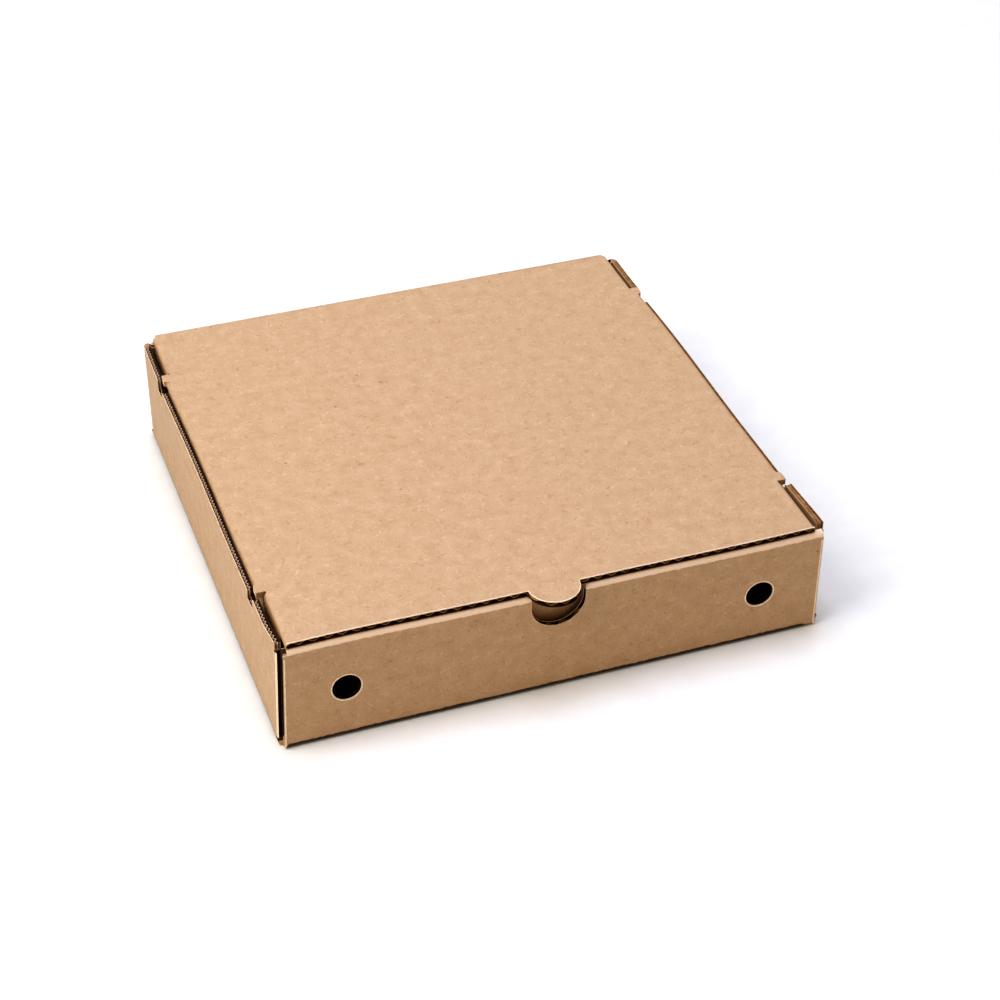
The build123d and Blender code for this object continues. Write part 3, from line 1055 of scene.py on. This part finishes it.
# %% Lines on the tray
outer_panel_y = front_face + board / 2
wall_middle = half_width - board / 2
notch_y = zone_y - 9.0 * mm
mid_height, notch_floor = 54.2 * mm, 49.5 * mm
panel_end_x = half_width - 2.75 * mm
rear_flap_foot, rear_flap_top = board + 0.5 * mm, roll_top - 0.5 * mm
flap_end = wall_inside - 52.0 * mm


def on_panel(x, z):
    """A place in the middle of the outer front panel's board."""
    return x, outer_panel_y, z


def on_rear_flap(x, z):
    """A place in the middle of a rear corner flap's board."""
    return x, rear_flap_face + board / 2, z


notch_corners = [
    (notch_x - notch_radius, roll_underside),
    *round_points((notch_x, notch_z), notch_radius, 180, 360),
    (notch_x + notch_radius, roll_underside),
]
waved_lines = [die_line(notch_corners, on_panel, 0, fine_step, keep_left=False)]
rim_lines, serrated_lines, crushed_lines = [], [], []
for side in (-1, 1):
    circle = round_points((side * vent_x, vent_z), vent_radius, 0, 360)
    rim_lines.append(die_line(circle, on_panel, 0, fine_step, keep_left=False, lips=(-1,)))
    upright = [
        (side * (panel_end_x + 0.3 * mm), 1.1 * mm),
        (side * panel_end_x, board),
        (side * panel_end_x, roll_underside - 1.2 * mm),
    ]
    rim_lines.append(die_line(upright, on_panel, 0, mm, keep_left=side > 0, lips=(side,)))
    wall_edge = with_rounds(
        [
            (front_end, wall_end_foot),
            (front_end, wall_end_top),
            (-zone_y, wall_end_top),
            (-zone_y, notch_floor),
            (-notch_y, notch_floor),
            (-notch_y, mid_height),
            (notch_y, mid_height),
            (notch_y, notch_floor),
            (zone_y, notch_floor),
            (zone_y, wall_end_top),
            (rear_flap_face, wall_end_top),
        ],
        1.0 * mm,
    )
    wall_x = side * wall_middle
    wall_line = die_line(
        wall_edge, lambda y, z, wall_x=wall_x: (wall_x, y, z), 1, serrated_step, keep_left=False, lips=(1,)
    )
    (serrated_lines if side < 0 else crushed_lines).append(wall_line)
    rear_edge = with_rounds(
        [
            (side * wall_inside, rear_flap_top),
            (side * flap_end, rear_flap_top - board),
            (side * flap_end, rear_flap_foot + board),
            (side * wall_inside, rear_flap_foot),
        ],
        2 * board,
    )
    waved_lines.append(die_line(rear_edge, on_rear_flap, 2, coarse_step, keep_left=side > 0))
tray_lines = waved_lines + serrated_lines
print("lines on the tray", len(tray_lines), "points", sum(len(line["points"]) for line in tray_lines))

# %% [markdown]
# ## The fluted medium
#
# The medium is a thin sheet in the shape of a wave, glued between the liners. Wherever the die has
# crossed the flutes its end shows as a wave, and where the cut runs along a flute it shows as a thin line
# that wanders. Both come from one rule: the sheet's height is a sine of the distance across the flutes.
# A flat band along each cut line carries that distance, and Geometry Nodes lift the band by the sine,
# roughen it and give it the thickness of paper.
#
# The side walls are cut along their flutes, so no flute ends there. The left one shows the fine wave of
# a serrated rule, 2.5 mm from tooth to tooth, and the right one is crushed. The same tree makes both.

# %% Bands along the cut lines
def band_mesh(name, lines, field, recess, depth, rows):
    """A flat band into the board along every line, with the two numbers that the wave needs."""
    points, faces, across, through = [], [], [], []
    for line in lines:
        first = len(points)
        count = len(line["points"])
        for row in range(rows + 1):
            inwards = recess + (depth - recess) * row / rows
            for place_on_line, into, way in zip(line["points"], line["into"], line["through"]):
                point = place_on_line + into * inwards
                points.append(point + np.array(field(Vector(point))))
                across.append(point[line["across"]])
                through.append(way)
        for row in range(rows):
            for step in range(count - 1):
                corner = first + row * count + step
                faces.append((corner, corner + 1, corner + count + 1, corner + count))
    mesh = bpy.data.meshes.new(name)
    mesh.from_pydata([tuple(p) for p in points], [], faces)
    mesh.attributes.new("across", "FLOAT", "POINT").data.foreach_set("value", np.array(across, np.float32))
    mesh.attributes.new("through", "FLOAT_VECTOR", "POINT").data.foreach_set(
        "vector", np.array(through, np.float32).ravel()
    )
    return mesh


# %% Medium tree
def named(tree, name, data_type):
    """A named attribute's value."""
    return place(tree, "GeometryNodeInputNamedAttribute", {"Name": name}, data_type=data_type).outputs[0]


def centred_noise(tree, scale, seed):
    """Noise about zero over the place of each point, different for each seed."""
    values = {"Scale": scale, "W": seed, "Detail": 2.0}
    grain = place(tree, "ShaderNodeTexNoise", values, noise_dimensions="4D").outputs[0]
    return maths(tree, "SUBTRACT", grain, 0.5)


def painted(tree, geometry, material):
    """The geometry as real meshes with the material."""
    real = place(tree, "GeometryNodeRealizeInstances", {"Geometry": geometry}).outputs[0]
    return place(tree, "GeometryNodeSetMaterial", {"Geometry": real, "Material": material}).outputs[0]


def make_medium_tree():
    """Geometry Nodes that lift a flat band into a wave of paper with a thickness."""
    tree, given, result = new_group(
        "fluted_medium",
        "GeometryNodeTree",
        [
            ("Geometry", "NodeSocketGeometry", None),
            ("Pitch", "NodeSocketFloat", flute_pitch),
            ("Wave Height", "NodeSocketFloat", 1.5 * mm),
            ("Paper Thickness", "NodeSocketFloat", 0.3 * mm),
            ("Raggedness", "NodeSocketFloat", 0.5 * mm),
            ("Seed", "NodeSocketFloat", 3.0),
            ("Material", "NodeSocketMaterial", None),
        ],
        [("Geometry", "NodeSocketGeometry")],
    )
    through = named(tree, "through", "FLOAT_VECTOR")
    waves = maths(tree, "DIVIDE", named(tree, "across", "FLOAT"), given["Pitch"])
    turn = maths(tree, "MULTIPLY", waves, 2 * math.pi)
    half_wave = maths(tree, "DIVIDE", given["Wave Height"], 2.0)
    wave = maths(tree, "MULTIPLY", maths(tree, "SINE", turn), half_wave)
    rough = maths(tree, "MULTIPLY", centred_noise(tree, 420.0, given["Seed"]), given["Raggedness"])
    half_sheet = maths(tree, "DIVIDE", given["Paper Thickness"], 2.0)
    rise = maths(tree, "SUBTRACT", maths(tree, "ADD", wave, rough), half_sheet)
    move = {"Geometry": given["Geometry"], "Offset": vector_maths(tree, "SCALE", through, rise)}
    lifted = place(tree, "GeometryNodeSetPosition", move).outputs[0]
    thickness = {"Offset": through, "Offset Scale": given["Paper Thickness"]}
    sheet = {"Mesh": lifted, **thickness, "Individual": False}
    thick = place(tree, "GeometryNodeExtrudeMesh", sheet, mode="FACES").outputs[0]
    under = place(tree, "GeometryNodeFlipFaces", {"Mesh": lifted}).outputs[0]
    joined = tree.nodes.new("GeometryNodeJoinGeometry")
    tree.links.new(thick, joined.inputs[0])
    tree.links.new(under, joined.inputs[0])
    seams = {"Geometry": joined.outputs[0], "Distance": 0.001 * mm}
    closed = place(tree, "GeometryNodeMergeByDistance", seams).outputs[0]
    tree.links.new(painted(tree, closed, given["Material"]), result["Geometry"])
    return tree


medium_tree = make_medium_tree()


# %% Run a tree and keep the mesh
def set_inputs(modifier, values):
    """Sets a Geometry Nodes modifier's inputs by their labels."""
    for socket in modifier.node_group.interface.items_tree:
        if socket.item_type == "SOCKET" and socket.in_out == "INPUT" and socket.name in values:
            modifier[socket.identifier] = values[socket.name]


def outward_faces(piece):
    """Makes every closed part of the piece face outwards, and shades it smooth."""
    shell = bmesh.new()
    shell.from_mesh(piece.data)
    bmesh.ops.recalc_face_normals(shell, faces=shell.faces[:])
    shell.to_mesh(piece.data)
    shell.free()
    piece.data.shade_smooth()
    piece.data.set_sharp_from_angle(angle=smooth_angle)


def grow(name, mesh, tree, values, body):
    """A piece made from the mesh by a Geometry Nodes tree, riding on a body."""
    piece = new_piece(name, mesh)
    modifier = piece.modifiers.new(tree.name, "NODES")
    modifier.node_group = tree
    set_inputs(modifier, values)
    plain_mesh(piece)
    outward_faces(piece)
    count_triangles(piece)
    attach(piece, body)
    return piece


medium_recess, crushed_recess = 0.45 * mm, 0.25 * mm
waved = {"Material": medium_material}
serrated = {
    "Material": lip_material,
    "Pitch": 2.5 * mm,
    "Wave Height": 1.0 * mm,
    "Paper Thickness": 0.35 * mm,
    "Raggedness": 0.4 * mm,
}
crushed = {
    "Material": crushed_material,
    "Wave Height": 0.0,
    "Paper Thickness": 1.9 * mm,
    "Raggedness": 0.35 * mm,
}
for name, lines, recess, rows, values, body in (
    ("tray_medium", waved_lines, medium_recess, 3, waved, "tray"),
    ("lid_medium", lid_lines, medium_recess, 3, waved, "lid"),
    ("tray_serrated_edge", serrated_lines, medium_recess, 3, serrated, "tray"),
    ("tray_crushed_edge", crushed_lines, crushed_recess, 2, crushed, "tray"),
):
    bands = band_mesh(name, lines, fields[body], recess, edge_hollow, rows)
    grow(name, bands, medium_tree, {"Seed": 3.0, **values}, body)

# %% [markdown]
# ## Torn liners
#
# A die crushes before it cuts, so each liner ends in a soft, slightly torn lip that is paler than its
# face. These lips draw the bright thin lines that outline every cut edge of a kraft box. Each is a thin
# tube on the liner's rim, whose place and thickness waver by a noise. Round the vents, at the ends of the
# front panel and along the lid's front edge the lip is thicker and paler still, and that extra paleness
# is partly painted highlight.

# %% Lip tree
def make_lip_tree():
    """Geometry Nodes that sweep an uneven tube along every line."""
    tree, given, result = new_group(
        "torn_lip",
        "GeometryNodeTree",
        [
            ("Geometry", "NodeSocketGeometry", None),
            ("Lip Radius", "NodeSocketFloat", 0.27 * mm),
            ("Step", "NodeSocketFloat", 0.8 * mm),
            ("Raggedness", "NodeSocketFloat", 0.22 * mm),
            ("Seed", "NodeSocketFloat", 8.0),
            ("Material", "NodeSocketMaterial", None),
        ],
        [("Geometry", "NodeSocketGeometry")],
    )
    line = place(tree, "GeometryNodeMeshToCurve", {"Mesh": given["Geometry"]}).outputs[0]
    steps = {"Curve": line, "Length": given["Step"]}
    even = place(tree, "GeometryNodeResampleCurve", steps, mode="LENGTH").outputs[0]
    seeds = [maths(tree, "ADD", given["Seed"], float(axis)) for axis in range(3)]
    spread = [centred_noise(tree, 600.0, seed) for seed in seeds]
    wander = place(tree, "ShaderNodeCombineXYZ", dict(enumerate(spread))).outputs[0]
    offset = vector_maths(tree, "SCALE", wander, given["Raggedness"])
    moved = place(tree, "GeometryNodeSetPosition", {"Geometry": even, "Offset": offset}).outputs[0]
    swell = maths(tree, "ADD", 1.0, maths(tree, "MULTIPLY", centred_noise(tree, 350.0, 5.0), 1.6))
    varied = place(tree, "GeometryNodeSetCurveRadius", {"Curve": moved, "Radius": swell}).outputs[0]
    circle = {"Resolution": 6, "Radius": given["Lip Radius"]}
    profile = place(tree, "GeometryNodeCurvePrimitiveCircle", circle).outputs[0]
    swept = {"Curve": varied, "Profile Curve": profile, "Fill Caps": True}
    tube = place(tree, "GeometryNodeCurveToMesh", swept).outputs[0]
    tree.links.new(painted(tree, tube, given["Material"]), result["Geometry"])
    return tree


lip_tree = make_lip_tree()


# %% Lips on both liners
def lip_mesh(name, lines, field):
    """The rims of both liners along every cut line, as bare edges."""
    points, edges = [], []
    from_middle = board / 2 - 0.16 * mm
    for line in lines:
        for side in line["lips"]:
            first = len(points)
            for place_on_line, into, way in zip(line["points"], line["into"], line["through"]):
                point = place_on_line + side * from_middle * way + 0.1 * mm * into
                points.append(point + np.array(field(Vector(point))))
            edges += [(first + step, first + step + 1) for step in range(len(line["points"]) - 1)]
    mesh = bpy.data.meshes.new(name)
    mesh.from_pydata([tuple(p) for p in points], edges, [])
    return mesh


for name, lines, material, radius, body in (
    ("tray_torn_lips", tray_lines, lip_material, 0.27 * mm, "tray"),
    ("tray_bright_rims", rim_lines, rim_and_painted_highlight_material, 0.45 * mm, "tray"),
    ("lid_torn_lips", flap_lines, lip_material, 0.27 * mm, "lid"),
    ("lid_front_rim", [front_line], rim_and_painted_highlight_material, 0.3 * mm, "lid"),
):
    lip_values = {"Material": material, "Lip Radius": radius}
    grow(name, lip_mesh(name, lines, fields[body]), lip_tree, lip_values, body)

# %% [markdown]
# ## The floor
#
# The floor is a sheet of white paper, wide enough that its edge is never in the picture. It isn't part
# of the box.

# %% Floor
floor_half = 6.0
floor_drop = 0.05 * mm
floor_mesh = bpy.data.meshes.new("white_floor")
corner_signs = ((-1, -1), (1, -1), (1, 1), (-1, 1))
floor_corners = [(x * floor_half, y * floor_half, -floor_drop) for x, y in corner_signs]
floor_mesh.from_pydata(floor_corners, [], [(0, 1, 2, 3)])
floor = new_piece("white_floor", floor_mesh)
floor_material, floor_tree, floor_shader = new_material("white_paper")
floor_grain = place(floor_tree, "ShaderNodeTexNoise", {"Scale": 900.0, "Detail": 2.0})
floor_stops = [(0.3, (0.85, 0.845, 0.8)), (0.7, (0.88, 0.875, 0.83))]
floor_colour = tone_colours(floor_tree, floor_grain.outputs[0], floor_stops)
floor_tree.links.new(floor_colour, floor_shader.inputs["Base Color"])
floor_shader.inputs["Roughness"].default_value = 0.9
floor_mesh.materials.append(floor_material)
